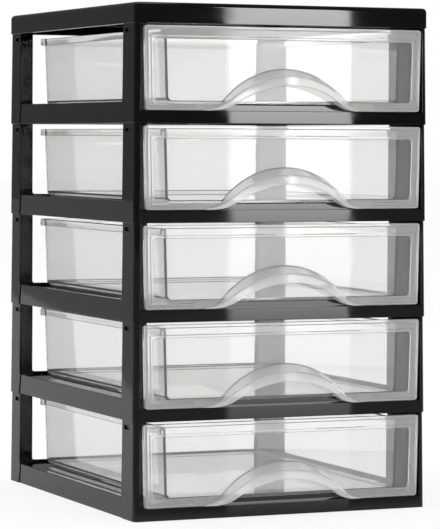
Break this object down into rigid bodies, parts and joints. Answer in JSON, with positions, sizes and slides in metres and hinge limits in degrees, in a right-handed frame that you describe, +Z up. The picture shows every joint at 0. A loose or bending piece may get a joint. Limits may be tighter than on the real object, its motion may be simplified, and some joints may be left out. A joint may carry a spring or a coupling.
{
  "type": "plastic drawer tower",
  "caption": "Desk-top tower of stacked open frames with a closed top, holding clear sliding drawers with arched finger pulls.",
  "frame": {"origin": "on the floor, in the middle of the overall footprint, pulls included", "axes": "+Z up, drawers open towards -Y, +X to the right as seen from the front"},
  "size_m": [0.18, 0.2213, 0.2865],
  "materials": {
    "black_plastic": "gloss moulded, fine flow marks",
    "clear_plastic": "clear, slightly milky moulded plastic"
  },
  "bodies": {
    "tower": {"tier_frame_1": "black_plastic", "tier_frame_2": "black_plastic", "tier_frame_3": "black_plastic", "tier_frame_4": "black_plastic", "tier_frame_5": "black_plastic", "top_cover": "black_plastic"},
    "drawer_1": {"drawer_1": "clear_plastic"},
    "drawer_2": {"drawer_2": "clear_plastic"},
    "drawer_3": {"drawer_3": "clear_plastic"},
    "drawer_4": {"drawer_4": "clear_plastic"},
    "drawer_5": {"drawer_5": "clear_plastic"}
  },
  "joints": [
    {"name": "drawer_1_slide", "type": "slide", "parent": "tower", "child": "drawer_1", "axis": [0, -1, 0], "range_m": [0, 0.165]},
    {"name": "drawer_2_slide", "type": "slide", "parent": "tower", "child": "drawer_2", "axis": [0, -1, 0], "range_m": [0, 0.165]},
    {"name": "drawer_3_slide", "type": "slide", "parent": "tower", "child": "drawer_3", "axis": [0, -1, 0], "range_m": [0, 0.165]},
    {"name": "drawer_4_slide", "type": "slide", "parent": "tower", "child": "drawer_4", "axis": [0, -1, 0], "range_m": [0, 0.165]},
    {"name": "drawer_5_slide", "type": "slide", "parent": "tower", "child": "drawer_5", "axis": [0, -1, 0], "range_m": [0, 0.165]}
  ]
}
